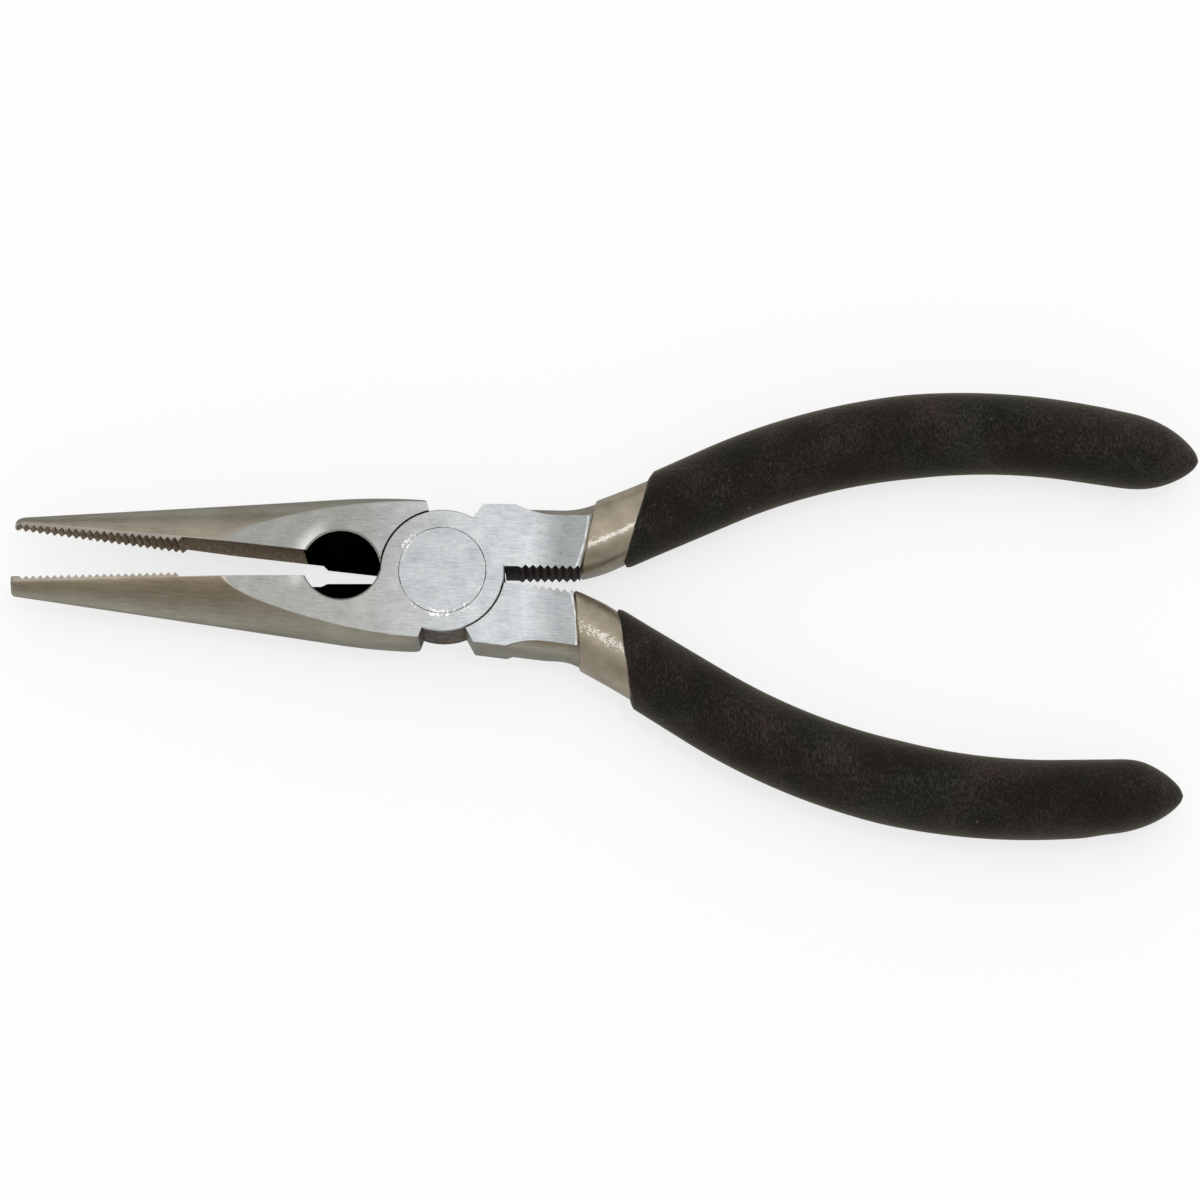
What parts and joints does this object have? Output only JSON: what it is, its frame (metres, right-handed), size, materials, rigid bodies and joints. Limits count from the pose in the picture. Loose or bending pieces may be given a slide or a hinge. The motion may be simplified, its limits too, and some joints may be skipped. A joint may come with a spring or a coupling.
{
  "type": "fishing pliers",
  "caption": "Long-nose pliers with serrated tapering jaws, a round side cutter, a crimping gap behind a flush rivet, and bowed handles in dipped foam grips.",
  "frame": {"origin": "on the rivet's axis at the back face of the joint, on which the tool lies", "axes": "+X from the rivet towards the handles along the middle line of the open jaws, jaws towards -X, +Z out of the front face along the rivet"},
  "size_m": [0.1647, 0.0631, 0.01],
  "materials": {
    "forged_steel": "satin plated, cheeks ground bright",
    "rivet_steel": "ground flush with the cheeks",
    "undercoat": "glossy thin dip",
    "grip_foam": "matt foamed vinyl dip"
  },
  "bodies": {
    "back": {"back_half": "forged_steel", "back_undercoat": "undercoat", "back_grip": "grip_foam", "pivot_rivet": "rivet_steel"},
    "front": {"front_half": "forged_steel", "front_undercoat": "undercoat", "front_grip": "grip_foam"}
  },
  "joints": [
    {"name": "jaw_pivot", "type": "hinge", "parent": "back", "child": "front", "pos_m": [0, 0, 0.005], "axis": [0, 0, 1], "range_deg": [-6.5, 39]}
  ]
}
